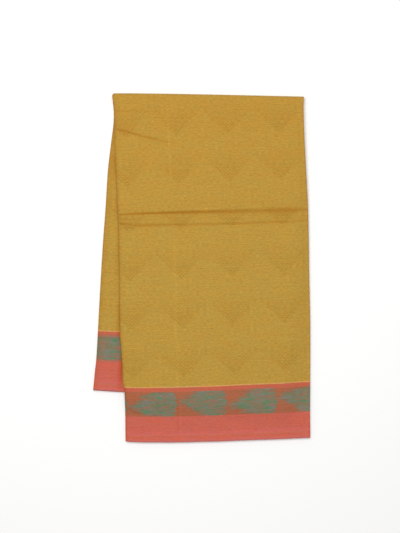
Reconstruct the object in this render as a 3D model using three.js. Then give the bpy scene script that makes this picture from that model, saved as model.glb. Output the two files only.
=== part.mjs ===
// A cotton saree folded to a long strip, doubled over and laid flat. Millimetres, +Z up.
// The doubled fold points to +Y, both hems to -Y, the spine of the strip to -X.
// Origin: the middle of the bounding box, on the surface that the saree lies on.

import * as THREE from 'three';

// The strip: sixteen panels of cloth, one on another, with one panel wrapped round the rest.
const STRIP_WIDTH = 342;
const PACKET = 7.0;
const WALL = 1.0;
const GAP = 0.3;
const SPINE_RADIUS = PACKET / 2;
const CORE_LOW = WALL + GAP;
const CORE_HIGH = PACKET - WALL - GAP;
const CORE_SPINE_RADIUS = SPINE_RADIUS - WALL - GAP;
const UNDER_EDGE_INSET = 2.5;

// The doubled fold turns about an axis that lies just inside the far end of the saree.
const FOLD_INSIDE = GAP / 2;
const FOLD_OUTSIDE = FOLD_INSIDE + PACKET;
const FOLD_QUARTER = (Math.PI / 2) * FOLD_OUTSIDE;
const FOLD_STEPS = 8;

// Lengths along the cloth from the top of the doubled fold: front ones plus, back ones minus.
const FRONT_HEM = 622;
const FRONT_BORDER = 525;
const BACK_BORDER = -440;
const BACK_HEM = -544;

// A little past the edge of the back the front starts to sink, and reaches the table.
const SINK_START = 2;
const SINK_LENGTH = 42;

// Outline of the front packet as it lies, from the doubled fold to the hem.
const FRONT_LEFT = [
  { y: 306.2, x: -160.4 },
  { y: 288.0, x: -157.4 },
  { y: 248.0, x: -156.4 },
  { y: 189.0, x: -155.0 },
  { y: 106.0, x: -151.0 },
  { y: 48.0, x: -149.0 },
  { y: -27.0, x: -148.1 },
  { y: -117.0, x: -146.7 },
  { y: -168.0, x: -143.1 },
  { y: -222.0, x: -138.6 },
  { y: -311.6, x: -137.0 },
];
const FRONT_RIGHT = [
  { y: 300.4, x: 182.8 },
  { y: 291.0, x: 182.2 },
  { y: 239.0, x: 183.8 },
  { y: 178.0, x: 186.8 },
  { y: 111.0, x: 190.4 },
  { y: -13.0, x: 192.9 },
  { y: -117.0, x: 194.8 },
  { y: -257.0, x: 194.4 },
  { y: -305.1, x: 194.9 },
];

// Outline of the back packet, which swings out past the front on the left.
const BACK_LEFT = [
  { y: 306.2, x: -160.4 },
  { y: 270.0, x: -158.0 },
  { y: 216.0, x: -164.0 },
  { y: 176.0, x: -168.6 },
  { y: 106.0, x: -173.0 },
  { y: 50.0, x: -177.2 },
  { y: -27.0, x: -181.9 },
  { y: -117.0, x: -186.8 },
  { y: -162.0, x: -189.4 },
  { y: -184.0, x: -191.8 },
  { y: -220.3, x: -195.3 },
];
const BACK_RIGHT = [
  { y: 300.4, x: 182.8 },
  { y: -239.0, x: 141.0 },
];

// How far down each side a straight thread across the strip meets the edges, and its bow.
const FRONT_THREADS = [
  { along: FOLD_QUARTER, left: 306.2, right: 300.4, bow: 1.0 },
  { along: 212, left: 97.0, right: 107.5, bow: 0.8 },
  { along: 237, left: 71.8, right: 83.5, bow: 0.8 },
  { along: FRONT_BORDER, left: -216.0, right: -206.3, bow: -3.0 },
  { along: FRONT_HEM, left: -311.6, right: -305.1, bow: -3.6 },
];
const BACK_THREADS = [
  { along: BACK_HEM, left: -220.3, right: -239.0, bow: -0.6 },
  { along: BACK_BORDER, left: -116.3, right: -134.5, bow: 0.0 },
  { along: -FOLD_QUARTER, left: 306.2, right: 300.4, bow: 1.0 },
];
const BOW_SKEW = 0.66;

// Press marks across the front, as soft troughs, and a ridge between the two of them.
const CROSS_CREASES = [
  { along: 212, depth: 0.75, spread: 4.0, fade: 0.25 },
  { along: 224, depth: -0.3, spread: 6.0, fade: 0.45 },
  { along: 237, depth: 0.4, spread: 4.5, fade: 0.7 },
];
const PRESS_LINE = { across: 98, depth: 0.4, spread: 4.0, start: 2 * FOLD_QUARTER, rise: 42 };

// Levels through the hidden layers. Each row says how far the folded edges at the side
// and the woven edges at the hems stand back from the panel that wraps them.
const LAYER_LEVELS = [
  { through: CORE_LOW, sideInset: 3.6, hemInset: 3.0 },
  { through: 1.7, sideInset: 1.9, hemInset: 1.2 },
  { through: 2.9, sideInset: 1.6, hemInset: 2.6 },
  { through: 3.4, sideInset: 4.2, hemInset: 1.4 },
  { through: 3.7, sideInset: 2.2, hemInset: 3.2 },
  { through: 4.4, sideInset: 2.0, hemInset: 1.8 },
  { through: 4.8, sideInset: 4.6, hemInset: 3.4 },
  { through: 5.2, sideInset: 2.8, hemInset: 1.6 },
  { through: CORE_HIGH, sideInset: 4.4, hemInset: 2.8 },
];

// Fineness of the meshes. The side of the strip from SINK_SIDE on bends as the front sinks.
const SINK_SIDE = 270;
const COLUMN_PITCH = 42;
const SINKING_PITCH = 12;
const FRONT_ROW_PITCH = 30;
const BORDER_ROW_PITCH = 12;
const BACK_ROW_PITCH = 38;
const SPINE_STEPS = 5;
const NEAREST_PLACES = 1;
// Beside a press mark the mesh has places this many spreads from its middle.
const MARK_FLANK = 1.5;

const FINISHES = {
  mustard: { color: 0xbb933e, roughness: 0.85, metalness: 0 },
  coral: { color: 0xc66654, roughness: 0.8, metalness: 0 },
  layers: { color: 0xb08a3c, roughness: 0.9, metalness: 0 },
};

/** Reads one column of a table at a place, on a smooth curve through the table's rows. */
function readTable(table, key, at, column) {
  const rising = table[table.length - 1][key] > table[0][key];
  const rows = rising ? table : [...table].reverse();
  const slope = (i) => {
    const a = rows[Math.max(i - 1, 0)];
    const b = rows[Math.min(i + 1, rows.length - 1)];
    return (b[column] - a[column]) / (b[key] - a[key]);
  };
  const last = rows.length - 2;
  let i = 0;
  while (i < last && at > rows[i + 1][key]) i += 1;
  const step = rows[i + 1][key] - rows[i][key];
  const u = (at - rows[i][key]) / step;
  if (u <= 0) return rows[i][column] + slope(i) * u * step;
  if (u >= 1) return rows[i + 1][column] + slope(i + 1) * (u - 1) * step;
  const rise = u * u * (3 - 2 * u);
  const start = u * (1 - u) * (1 - u) * step * slope(i);
  const end = u * u * (u - 1) * step * slope(i + 1);
  return rows[i][column] * (1 - rise) + rows[i + 1][column] * rise + start + end;
}

function smoothStep(u) {
  const c = Math.min(Math.max(u, 0), 1);
  return c * c * (3 - 2 * c);
}

/** A point of the plan: across the strip in mm from the spine, along a given thread. */
function planPoint(across, along) {
  const front = along > 0;
  const threads = front ? FRONT_THREADS : BACK_THREADS;
  const reach = Math.max(Math.abs(along), FOLD_QUARTER);
  const at = front ? reach : -reach;
  const leftY = readTable(threads, 'along', at, 'left');
  const rightY = readTable(threads, 'along', at, 'right');
  const leftX = readTable(front ? FRONT_LEFT : BACK_LEFT, 'y', leftY, 'x');
  const rightX = readTable(front ? FRONT_RIGHT : BACK_RIGHT, 'y', rightY, 'x');
  const share = across / STRIP_WIDTH;
  const bowed = Math.sin(Math.PI * Math.max(share, 0) ** BOW_SKEW);
  const bow = readTable(threads, 'along', at, 'bow') * bowed;
  return {
    x: leftX + (rightX - leftX) * share,
    y: leftY + (rightY - leftY) * share + bow,
  };
}

/** How far the front packet is held up by the back one: 1 on it, 0 on the table. */
function support(x, y) {
  const hemLeft = BACK_THREADS[0].left;
  const hemRight = BACK_THREADS[0].right;
  const hemLeftX = BACK_LEFT[BACK_LEFT.length - 1].x;
  const hemRightX = BACK_RIGHT[BACK_RIGHT.length - 1].x;
  const share = (x - hemLeftX) / (hemRightX - hemLeftX);
  const side = readTable(BACK_RIGHT, 'y', y, 'x') + SINK_START;
  const hem = hemLeft + (hemRight - hemLeft) * share - SINK_START;
  const pastSide = Math.max(0, x - side);
  const pastHem = Math.max(0, hem - y);
  return 1 - smoothStep(Math.hypot(pastSide, pastHem) / SINK_LENGTH);
}

/** How deep the press marks are at a place on the front. */
function creaseDepth(across, along) {
  const share = across / STRIP_WIDTH;
  let depth = 0;
  for (const crease of CROSS_CREASES) {
    const off = (along - crease.along) / crease.spread;
    depth += crease.depth * Math.exp(-off * off) * (1 - crease.fade * share);
  }
  const off = (across - PRESS_LINE.across) / PRESS_LINE.spread;
  const awayFromFold = smoothStep((along - PRESS_LINE.start) / PRESS_LINE.rise);
  return depth + PRESS_LINE.depth * Math.exp(-off * off) * awayFromFold;
}

/** A point of the folded cloth. Through runs from the packets' facing sides outwards. */
function clothPoint(across, along, through) {
  const { x, y } = planPoint(across, along);
  if (along >= FOLD_QUARTER) {
    const lift = (PACKET + GAP) * support(x, y);
    const sunk = creaseDepth(across, along) * (through / PACKET);
    return [x, y, lift + through - sunk];
  }
  if (along <= -FOLD_QUARTER) return [x, y, PACKET - through];
  const left = planPoint(0, FOLD_QUARTER);
  const right = planPoint(STRIP_WIDTH, FOLD_QUARTER);
  const run = Math.hypot(right.x - left.x, right.y - left.y);
  const outwardX = -(right.y - left.y) / run;
  const outwardY = (right.x - left.x) / run;
  const turn = (Math.PI / 2) * (along / FOLD_QUARTER);
  const reach = (FOLD_INSIDE + through) * Math.cos(turn);
  const rise = (FOLD_INSIDE + through) * Math.sin(turn);
  return [x + outwardX * reach, y + outwardY * reach, PACKET + FOLD_INSIDE + rise];
}

/** Places from one end to the other at about the pitch, with the wanted ones among them. */
function placesAlong(from, to, pitch, wanted = []) {
  const sign = Math.sign(to - from);
  const fits = (place) => Math.min((place - from) * sign, (to - place) * sign) > NEAREST_PLACES;
  const inside = wanted.filter(fits);
  const knots = [from, ...inside.sort((a, b) => (a - b) * sign), to];
  const places = [from];
  for (let i = 1; i < knots.length; i += 1) {
    const span = knots[i] - knots[i - 1];
    const steps = Math.max(1, Math.round(Math.abs(span) / pitch));
    for (let k = 1; k <= steps; k += 1) places.push(knots[i - 1] + (span * k) / steps);
  }
  return places;
}

/** The places along the cloth at which the doubled fold is cut into steps. */
function foldPlaces() {
  return Array.from(
    { length: FOLD_STEPS + 1 },
    (_, k) => FOLD_QUARTER * (1 - (2 * k) / FOLD_STEPS),
  );
}

/** The places that a press mark needs so that its trough keeps its form. */
function flanked(middle, spread) {
  return [middle - MARK_FLANK * spread, middle, middle + MARK_FLANK * spread];
}

/** The places along the cloth that the cross creases need. */
function creasePlaces() {
  return CROSS_CREASES.flatMap(({ along, spread, depth }) =>
    depth > 0 ? flanked(along, spread) : [along],
  );
}

/** Places across the strip, closer at the press line and where the front sinks. */
function columnPlaces() {
  const { across, spread } = PRESS_LINE;
  const press = flanked(across, spread);
  const flat = placesAlong(SPINE_RADIUS, SINK_SIDE, COLUMN_PITCH, press);
  return [...flat, ...placesAlong(SINK_SIDE, STRIP_WIDTH, SINKING_PITCH).slice(1)];
}

/** A closed solid from a box of cells, bent to its form by the function that places them. */
function bentBox([ni, nj, nk], place) {
  const numbers = new Map();
  const positions = [];
  const triangles = [];
  const vertex = (i, j, k) => {
    const key = (i * (nj + 1) + j) * (nk + 1) + k;
    if (!numbers.has(key)) {
      numbers.set(key, positions.length / 3);
      positions.push(...place(i, j, k));
    }
    return numbers.get(key);
  };
  const apart = (a, b) =>
    Math.hypot(...[0, 1, 2].map((axis) => positions[3 * a + axis] - positions[3 * b + axis]));
  // Each cell is split across its shorter diagonal, so that nested pieces are split alike.
  const quad = (a, b, c, d) => {
    const [p, q, r, s] = [a, b, c, d].map((cell) => vertex(...cell));
    if (apart(p, r) < apart(q, s)) triangles.push(p, q, r, p, r, s);
    else triangles.push(p, q, s, q, r, s);
  };
  for (let i = 0; i < ni; i += 1) {
    for (let j = 0; j < nj; j += 1) {
      quad([i, j, nk], [i + 1, j, nk], [i + 1, j + 1, nk], [i, j + 1, nk]);
      quad([i, j, 0], [i, j + 1, 0], [i + 1, j + 1, 0], [i + 1, j, 0]);
    }
    for (let k = 0; k < nk; k += 1) {
      quad([i, 0, k], [i + 1, 0, k], [i + 1, 0, k + 1], [i, 0, k + 1]);
      quad([i, nj, k], [i, nj, k + 1], [i + 1, nj, k + 1], [i + 1, nj, k]);
    }
  }
  for (let j = 0; j < nj; j += 1) {
    for (let k = 0; k < nk; k += 1) {
      quad([0, j, k], [0, j, k + 1], [0, j + 1, k + 1], [0, j + 1, k]);
      quad([ni, j, k], [ni, j + 1, k], [ni, j + 1, k + 1], [ni, j, k + 1]);
    }
  }
  const geometry = new THREE.BufferGeometry();
  geometry.setAttribute('position', new THREE.Float32BufferAttribute(positions, 3));
  geometry.setIndex(triangles);
  geometry.computeVertexNormals();
  return geometry;
}

/** The line that the wrapping panel follows: under the packet, round the spine, over it. */
function wrapLine() {
  const over = columnPlaces().map((across) => ({ across, round: Math.PI }));
  const under = columnPlaces().map((across) => ({ across, round: 0 })).reverse();
  under[0].across -= UNDER_EDGE_INSET;
  const spine = Array.from({ length: SPINE_STEPS - 1 }, (_, k) => ({
    across: SPINE_RADIUS,
    round: (Math.PI * (k + 1)) / SPINE_STEPS,
  }));
  return [...under, ...spine, ...over];
}

/** One stretch of the wrapping panel, between two places along the cloth. */
function wrapStretch(places) {
  const line = wrapLine();
  return bentBox([line.length - 1, places.length - 1, 1], (i, j, k) => {
    const { across, round } = line[i];
    const radius = SPINE_RADIUS - WALL * (1 - k);
    const through = SPINE_RADIUS - radius * Math.cos(round);
    return clothPoint(across - radius * Math.sin(round), places[j], through);
  });
}

/** The hidden layers: one solid inside the wrap, ridged along its side and at both hems. */
function hiddenLayers(places) {
  const levels = LAYER_LEVELS;
  const columns = columnPlaces();
  const lastColumn = columns.length - 1;
  const lastRow = places.length - 1;
  return bentBox([lastColumn, lastRow, levels.length - 1], (i, j, k) => {
    const { through, sideInset, hemInset } = levels[k];
    let across = columns[i];
    if (i === 0) {
      const off = through - SPINE_RADIUS;
      across -= Math.sqrt(Math.max(0, CORE_SPINE_RADIUS ** 2 - off ** 2));
    }
    if (i === lastColumn) across -= sideInset;
    let along = places[j];
    if (j === 0) along -= hemInset;
    if (j === lastRow) along += hemInset;
    return clothPoint(across, along, through);
  });
}

function piece(name, geometry, finish) {
  const mesh = new THREE.Mesh(geometry, new THREE.MeshStandardMaterial(finish));
  mesh.name = name;
  return mesh;
}

const halfGap = GAP / 2;
const creases = creasePlaces();
const fold = foldPlaces();
const stretches = {
  frontBorder: placesAlong(FRONT_HEM, FRONT_BORDER + halfGap, BORDER_ROW_PITCH),
  frontField: [
    ...placesAlong(FRONT_BORDER - halfGap, FOLD_QUARTER, FRONT_ROW_PITCH, creases),
    ...fold.slice(1),
  ],
  backField: placesAlong(-FOLD_QUARTER - GAP, BACK_BORDER + halfGap, BACK_ROW_PITCH),
  backBorder: placesAlong(BACK_BORDER - halfGap, BACK_HEM, BACK_ROW_PITCH),
  hidden: [
    ...placesAlong(FRONT_HEM, FRONT_BORDER, BORDER_ROW_PITCH),
    ...placesAlong(FRONT_BORDER, FOLD_QUARTER, FRONT_ROW_PITCH, creases).slice(1),
    ...fold.slice(1),
    ...placesAlong(-FOLD_QUARTER, BACK_HEM, BACK_ROW_PITCH, [BACK_BORDER]).slice(1),
  ],
};

const group = new THREE.Group();
group.add(
  piece('front_field', wrapStretch(stretches.frontField), FINISHES.mustard),
  piece('front_border', wrapStretch(stretches.frontBorder), FINISHES.coral),
  piece('back_field', wrapStretch(stretches.backField), FINISHES.mustard),
  piece('back_border', wrapStretch(stretches.backBorder), FINISHES.coral),
  piece('hidden_layers', hiddenLayers(stretches.hidden), FINISHES.layers),
);

export default group;
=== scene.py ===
"""A cotton saree folded to a long strip, doubled over and laid flat.

Lengths in the classes are in millimetres, and MM turns them to metres where a mesh is made.
Across runs from the spine of the strip to its layered side, along from the doubled fold to
the front hem (plus) or the back hem (minus), and through from the packets' facing sides out.
"""

from __future__ import annotations

import logging
import math
from dataclasses import dataclass
from enum import Enum
from typing import NamedTuple

import bpy
import numpy as np
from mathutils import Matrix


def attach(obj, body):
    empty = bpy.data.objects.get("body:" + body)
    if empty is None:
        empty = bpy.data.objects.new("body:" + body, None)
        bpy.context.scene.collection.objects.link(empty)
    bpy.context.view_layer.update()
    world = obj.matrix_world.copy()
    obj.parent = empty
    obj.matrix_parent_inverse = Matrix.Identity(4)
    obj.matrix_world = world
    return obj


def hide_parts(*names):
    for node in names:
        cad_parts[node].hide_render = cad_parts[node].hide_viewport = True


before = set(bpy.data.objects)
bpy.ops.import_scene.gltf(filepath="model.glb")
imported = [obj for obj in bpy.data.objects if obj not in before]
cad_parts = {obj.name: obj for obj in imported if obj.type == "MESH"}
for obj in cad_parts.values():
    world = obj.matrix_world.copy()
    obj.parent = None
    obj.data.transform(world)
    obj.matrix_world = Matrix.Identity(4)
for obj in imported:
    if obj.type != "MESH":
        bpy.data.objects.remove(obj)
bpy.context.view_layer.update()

MM = 0.001
CLOTH_MAP = "cloth"
PAINTED_LIGHT_TONE = "painted_light_tone"
LOG = logging.getLogger("saree")
MATH = "ShaderNodeMath"
VECTOR = "ShaderNodeVectorMath"
NOISE = "ShaderNodeTexNoise"
MIX = "ShaderNodeMix"
RANGE = "ShaderNodeMapRange"
RAMP = "ShaderNodeValToRGB"
Tree = bpy.types.NodeTree
Socket = bpy.types.NodeSocket
Node = bpy.types.Node
Piece = bpy.types.Object


class Stretch(Enum):
    """The stretches of the wrapping cloth, by the CAD node that each stands for."""

    FRONT_BORDER = "front_border"
    FRONT_FIELD = "front_field"
    BACK_FIELD = "back_field"
    BACK_BORDER = "back_border"

    @property
    def is_border(self) -> bool:
        """Whether the stretch is one of the two coral borders."""
        return self in (Stretch.FRONT_BORDER, Stretch.BACK_BORDER)


class EdgePoint(NamedTuple):
    """A point of a packet's edge as it lies."""

    y: float
    x: float


class Thread(NamedTuple):
    """A thread that runs across the strip: its place along, its two ends, and its bow."""

    along: float
    left: float
    right: float
    bow: float


class PressPoint(NamedTuple):
    """A point on a press mark: its place, how deep and wide it is, and how much it is toned.

    A tone above 0 paints shade, darker and warmer than the plain cloth, and one below 0 paints a
    highlight.
    """

    across: float
    along: float
    depth: float
    spread: float
    tone: float


class Streaks(NamedTuple):
    """Uneven patches along the yarns: their size across and along, and their range of values."""

    across: float
    along: float
    low: float
    high: float


class RowRun(NamedTuple):
    """A run of a sheet's rows: where it starts along the cloth, and how far apart its rows are."""

    start: float
    pitch: float


class StackPoint(NamedTuple):
    """A point of the line of cloth through the stack."""

    across: float
    through: float
    cloth: float
    hem_inset: float
    sway: float
    group: int


def smooth_step(u: np.ndarray) -> np.ndarray:
    """Rises softly from 0 at 0 to 1 at 1.

    Args:
        u: Where to read the rise.

    Returns:
        The rise there.
    """
    c = np.clip(u, 0.0, 1.0)
    return c * c * (3.0 - 2.0 * c)


def smooth_read(at: np.ndarray, places: list[float], values: list[float]) -> np.ndarray:
    """Reads a table on a smooth curve through its rows, and straight on past its ends.

    Args:
        at: Where to read.
        places: The rows' places, rising or falling.
        values: The rows' values.

    Returns:
        The values at those places.
    """
    p, v = np.array(places, float), np.array(values, float)
    if p[0] > p[-1]:
        p, v = p[::-1], v[::-1]
    lower = np.maximum(np.arange(len(p)) - 1, 0)
    upper = np.minimum(np.arange(len(p)) + 1, len(p) - 1)
    slope = (v[upper] - v[lower]) / (p[upper] - p[lower])
    i = np.clip(np.searchsorted(p, at) - 1, 0, len(p) - 2)
    step = p[i + 1] - p[i]
    u = (at - p[i]) / step
    c = np.clip(u, 0.0, 1.0)
    rise = smooth_step(c)
    bend = c * (1 - c) * step * ((1 - c) * slope[i] - c * slope[i + 1])
    past = np.where(u < 0, u * step * slope[i], np.where(u > 1, (u - 1) * step * slope[i + 1], 0.0))
    return v[i] * (1 - rise) + v[i + 1] * rise + bend + past


def spread_places(start: float, end: float, pitch: float) -> np.ndarray:
    """Places from start to end, both among them, at about a pitch.

    Args:
        start: The first place.
        end: The last place.
        pitch: The wanted distance between them.

    Returns:
        The places.
    """
    return np.linspace(start, end, max(2, round(abs(end - start) / pitch) + 1))


def join_places(*parts: np.ndarray) -> np.ndarray:
    """Joins runs of places, each of which starts where the one before it ends.

    Args:
        *parts: The runs.

    Returns:
        All the places, with each shared one once.
    """
    return np.concatenate([part[:-1] for part in parts[:-1]] + [parts[-1]])


def run_places(runs: tuple[RowRun, ...], end: float) -> np.ndarray:
    """Places along a row of runs, each of which ends where the next one starts.

    Args:
        runs: The runs.
        end: Where the last one ends.

    Returns:
        The places.
    """
    ends = [run.start for run in runs[1:]] + [end]
    parts = [spread_places(run.start, stop, run.pitch) for run, stop in zip(runs, ends)]
    return join_places(*parts)


@dataclass(frozen=True)
class Ripple:
    """A soft unevenness made of a few long waves with seeded directions and phases."""

    seed: int
    lengths: tuple[float, ...]
    heights: tuple[float, ...]

    def read(self, across: np.ndarray, along: np.ndarray) -> np.ndarray:
        """Reads the ripple.

        Args:
            across: Places across the strip.
            along: Places along the cloth.

        Returns:
            Its height at those places.
        """
        rng = np.random.default_rng(self.seed)
        total = np.zeros(np.broadcast(across, along).shape)
        for length, height in zip(self.lengths, self.heights):
            angle, phase = rng.uniform(0, 2 * math.pi, 2)
            run = across * math.cos(angle) + along * math.sin(angle)
            total = total + height * np.sin(2 * math.pi * run / length + phase)
        return total


@dataclass(frozen=True)
class PressMark:
    """A pressed line painted with shade or highlight, or a painted shadow by an edge, on a curve
    through its points.
    """

    points: tuple[PressPoint, ...]

    def read(self, across: np.ndarray, along: np.ndarray) -> tuple[np.ndarray, np.ndarray]:
        """Reads the mark.

        Args:
            across: Places across the strip.
            along: Places along the cloth.

        Returns:
            How deep the cloth is pressed in at those places, and its tone of painted shade (above 0)
            or highlight (below 0).
        """
        first, last = self.points[0], self.points[-1]
        run = math.hypot(last.across - first.across, last.along - first.along)
        way = ((last.across - first.across) / run, (last.along - first.along) / run)
        on = (across - first.across) * way[0] + (along - first.along) * way[1]
        off = (along - first.along) * way[0] - (across - first.across) * way[1]
        marks = [(p.across - first.across, p.along - first.along) for p in self.points]
        places = [a * way[0] + b * way[1] for a, b in marks]
        inside = np.clip(on, 0.0, run)
        middle = smooth_read(inside, places, [b * way[0] - a * way[1] for a, b in marks])
        spread = smooth_read(inside, places, [p.spread for p in self.points])
        shape = np.exp(-(((off - middle) ** 2 + (on - inside) ** 2) / spread**2))
        depth = smooth_read(inside, places, [p.depth for p in self.points])
        tone = smooth_read(inside, places, [p.tone for p in self.points])
        return depth * shape, tone * shape


@dataclass(frozen=True)
class Lie:
    """How the folded saree lies: its outline, its thickness, its press marks and its sag.

    Past the back packet's edge the front one sinks to the floor over sink_length. Towards the
    doubled fold the press marks fade out over calm_length. Painted shade darkens the rounded
    spine edges over spine_reach.
    """

    strip_width: float = 342.0
    packet: float = 7.0
    gap: float = 0.3
    front_hem: float = 622.0
    front_border: float = 525.0
    back_border: float = -440.0
    back_hem: float = -544.0
    sink_start: float = 2.0
    sink_length: float = 42.0
    bow_skew: float = 0.66
    press_line: float = 98.0
    calm_length: float = 18.0
    spine_painted_shade: float = 0.5
    spine_reach: float = 3.8
    front_left: tuple[EdgePoint, ...] = (
        EdgePoint(306.2, -160.4),
        EdgePoint(288.0, -157.4),
        EdgePoint(248.0, -156.4),
        EdgePoint(189.0, -155.0),
        EdgePoint(106.0, -151.0),
        EdgePoint(48.0, -149.0),
        EdgePoint(-27.0, -148.1),
        EdgePoint(-117.0, -146.7),
        EdgePoint(-168.0, -143.1),
        EdgePoint(-206.0, -141.5),
        EdgePoint(-224.0, -138.4),
        EdgePoint(-311.6, -137.0),
    )
    front_right: tuple[EdgePoint, ...] = (
        EdgePoint(300.4, 182.8),
        EdgePoint(291.0, 182.2),
        EdgePoint(239.0, 183.8),
        EdgePoint(178.0, 186.8),
        EdgePoint(111.0, 190.4),
        EdgePoint(-13.0, 192.9),
        EdgePoint(-117.0, 194.8),
        EdgePoint(-257.0, 194.4),
        EdgePoint(-305.1, 194.9),
    )
    back_left: tuple[EdgePoint, ...] = (
        EdgePoint(306.2, -160.4),
        EdgePoint(270.0, -158.0),
        EdgePoint(216.0, -164.0),
        EdgePoint(176.0, -168.6),
        EdgePoint(106.0, -173.0),
        EdgePoint(50.0, -177.2),
        EdgePoint(-27.0, -181.9),
        EdgePoint(-117.0, -186.8),
        EdgePoint(-162.0, -189.4),
        EdgePoint(-184.0, -191.8),
        EdgePoint(-220.3, -195.3),
    )
    back_right: tuple[EdgePoint, ...] = (EdgePoint(300.4, 182.8), EdgePoint(-239.0, 141.0))
    # Each mark dents the cloth by its depth; its tone paints shade above 0 and a highlight below 0.
    front_marks: tuple[PressMark, ...] = (
        # The upper of the two creases that run right across.
        PressMark(
            (
                PressPoint(1.0, 214.6, 0.45, 1.2, 0.90),
                PressPoint(30.0, 213.7, 0.75, 1.6, 0.95),
                PressPoint(58.0, 213.6, 0.80, 2.0, 1.00),
                PressPoint(104.0, 214.0, 0.85, 2.5, 1.00),
                PressPoint(164.0, 214.2, 0.90, 3.3, 0.92),
                PressPoint(202.0, 214.5, 0.85, 3.9, 0.72),
                PressPoint(286.0, 214.8, 0.70, 4.5, 0.62),
                PressPoint(309.0, 215.4, 0.65, 4.4, 0.60),
                PressPoint(343.0, 214.8, 0.50, 2.6, 0.50),
            )
        ),
        # The lit lip above it.
        PressMark(
            (
                PressPoint(90.0, 208.6, -0.10, 1.5, -0.2),
                PressPoint(140.0, 208.8, -0.30, 1.7, -0.7),
                PressPoint(215.0, 209.0, -0.20, 1.7, -0.4),
                PressPoint(260.0, 209.2, 0.0, 1.6, 0.0),
            )
        ),
        # A short branch below the upper crease, at the spine.
        PressMark(
            (
                PressPoint(2.0, 221.5, 0.10, 1.4, 0.20),
                PressPoint(16.0, 223.0, 0.20, 1.4, 0.28),
                PressPoint(44.0, 225.5, 0.0, 1.6, 0.0),
            )
        ),
        # The lower of the two creases.
        PressMark(
            (
                PressPoint(3.0, 230.0, 0.35, 1.9, 0.80),
                PressPoint(30.0, 233.6, 0.45, 2.2, 0.55),
                PressPoint(57.0, 235.2, 0.50, 3.1, 0.60),
                PressPoint(117.0, 236.0, 0.50, 2.3, 0.50),
                PressPoint(201.0, 237.0, 0.45, 2.3, 0.50),
                PressPoint(309.0, 236.0, 0.30, 2.4, 0.44),
                PressPoint(340.0, 235.4, 0.05, 2.3, 0.15),
            )
        ),
        # The warmer cloth between the two.
        PressMark(
            (
                PressPoint(2.0, 224.0, 0.0, 8.0, 0.12),
                PressPoint(60.0, 224.0, 0.0, 8.0, 0.10),
                PressPoint(220.0, 225.0, 0.0, 8.0, 0.08),
                PressPoint(300.0, 224.0, 0.0, 8.0, 0.18),
                PressPoint(340.0, 225.0, 0.0, 8.0, 0.08),
            )
        ),
        # A short branch that joins the lower crease from below.
        PressMark(
            (
                PressPoint(3.0, 239.6, 0.20, 1.6, 0.35),
                PressPoint(30.0, 238.0, 0.25, 1.7, 0.30),
                PressPoint(46.0, 236.6, 0.0, 1.8, 0.05),
            )
        ),
        # The slanting crease near the doubled fold.
        PressMark(
            (
                PressPoint(3.0, 66.0, 0.35, 1.6, 0.60),
                PressPoint(24.0, 72.0, 0.50, 1.9, 0.75),
                PressPoint(46.0, 78.0, 0.45, 1.8, 0.62),
                PressPoint(64.0, 82.4, 0.35, 1.8, 0.58),
                PressPoint(82.0, 86.8, 0.25, 1.8, 0.55),
                PressPoint(100.0, 90.5, 0.10, 1.8, 0.28),
                PressPoint(112.0, 93.0, 0.0, 1.8, 0.0),
            )
        ),
        # A short branch under the slanting crease, at the spine.
        PressMark(
            (
                PressPoint(6.0, 72.0, 0.12, 1.4, 0.25),
                PressPoint(30.0, 78.0, 0.0, 1.4, 0.0),
            )
        ),
        # A faint crease between the slanting one and the doubled fold.
        PressMark(
            (
                PressPoint(2.0, 36.0, 0.20, 1.4, 0.30),
                PressPoint(50.0, 36.2, 0.15, 1.4, 0.20),
                PressPoint(98.0, 36.4, 0.0, 1.4, 0.0),
            )
        ),
        # A short slanting crease in the ikat band.
        PressMark(
            (
                PressPoint(4.0, 562.0, 0.20, 1.5, 0.30),
                PressPoint(18.0, 567.8, 0.40, 1.7, 0.50),
                PressPoint(44.0, 572.6, 0.10, 1.7, 0.10),
            )
        ),
        # The press line that runs down the whole front, painted highlight on the field and painted
        # shade on the border.
        PressMark(
            (
                PressPoint(96.8, 18.0, 0.05, 1.4, -0.60),
                PressPoint(97.4, 60.0, 0.05, 1.4, -0.95),
                PressPoint(98.6, 130.0, 0.10, 1.4, -1.00),
                PressPoint(98.8, 160.0, 0.10, 1.8, -0.20),
                PressPoint(99.2, 243.0, 0.10, 2.2, -0.08),
                PressPoint(99.6, 262.0, 0.15, 2.4, -0.60),
                PressPoint(101.2, 371.0, 0.15, 3.2, -0.55),
                PressPoint(101.2, 510.0, 0.20, 3.2, -0.45),
                PressPoint(97.6, 540.0, 0.26, 2.2, 0.10),
                PressPoint(97.8, 590.0, 0.28, 2.8, 0.16),
                PressPoint(97.6, 624.0, 0.25, 3.0, 0.10),
            )
        ),
        # The lit line beside it on the border.
        PressMark(
            (
                PressPoint(102.0, 536.0, 0.0, 1.4, 0.0),
                PressPoint(102.2, 556.0, 0.0, 1.4, -0.50),
                PressPoint(102.4, 620.0, 0.0, 1.4, -0.70),
            )
        ),
        # The faint press line along the layered side.
        PressMark(
            (
                PressPoint(331.0, 40.0, 0.05, 1.6, 0.12),
                PressPoint(334.0, 515.0, 0.05, 1.6, 0.12),
                PressPoint(334.5, 535.0, 0.05, 1.8, -0.3),
                PressPoint(335.0, 624.0, 0.05, 1.8, -0.4),
            )
        ),
    )
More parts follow.
